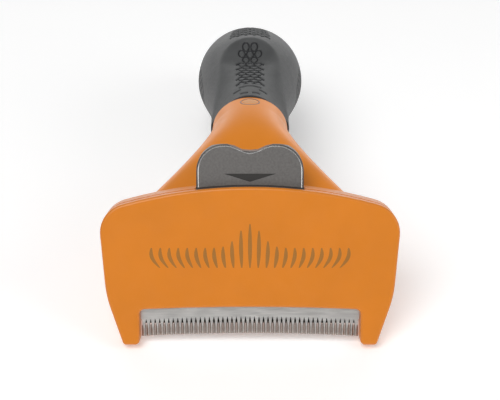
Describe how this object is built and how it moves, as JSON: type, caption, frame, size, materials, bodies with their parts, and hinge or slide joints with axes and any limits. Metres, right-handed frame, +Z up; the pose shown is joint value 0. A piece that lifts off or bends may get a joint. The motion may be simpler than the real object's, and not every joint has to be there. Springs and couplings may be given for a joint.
{
  "type": "pet deshedding tool",
  "caption": "Pet grooming rake: toothed steel edge between two skin guards, spring-return button that wipes the hair off the teeth, and an arched soft-grip handle with a thumb rest.",
  "frame": {"origin": "middle of the footprint, on the surface that the two guard tips and the handle's tail rest on", "axes": "+X to the right across the head, +Y from the head back along the handle, +Z up; the tool lies with its teeth towards the surface"},
  "size_m": [0.0948, 0.1779, 0.06],
  "materials": {
    "body_plastic": "satin orange moulding",
    "blade_steel": "fine ground",
    "clamp_steel": "plain pressed",
    "screw_steel": "zinc plated",
    "button_plastic": "metallic grey, fine satin",
    "carriage_plastic": "as moulded",
    "wiper_rubber": "smooth",
    "spring_steel": "drawn wire",
    "badge_plastic": "satin beige",
    "grip_rubber": "fine grained soft grip"
  },
  "bodies": {
    "tool": {"front_cover": "body_plastic", "rear_housing": "body_plastic", "comb_blade": "blade_steel", "blade_clamp_bar": "clamp_steel", "blade_screws": "screw_steel", "cover_screws": "screw_steel", "guide_pin_left": "spring_steel", "guide_pin_right": "spring_steel", "return_spring_left": "spring_steel", "return_spring_right": "spring_steel", "handle_frame_upper": "body_plastic", "handle_frame_lower": "body_plastic", "neck_screws": "screw_steel", "frame_screws": "screw_steel", "neck_badge": "badge_plastic", "grip_sleeve": "grip_rubber"},
    "ejector": {"eject_button": "button_plastic", "button_screws": "screw_steel", "eject_carriage": "carriage_plastic", "hair_wiper": "wiper_rubber"}
  },
  "joints": [
    {"name": "ejector_slide", "type": "slide", "parent": "tool", "child": "ejector", "axis": [0, -0.4144, -0.9101], "range_m": [0, 0.006], "stiffness_N_per_m": 500, "springref_m": -0.003, "deforming": ["return_spring_left", "return_spring_right"]}
  ]
}
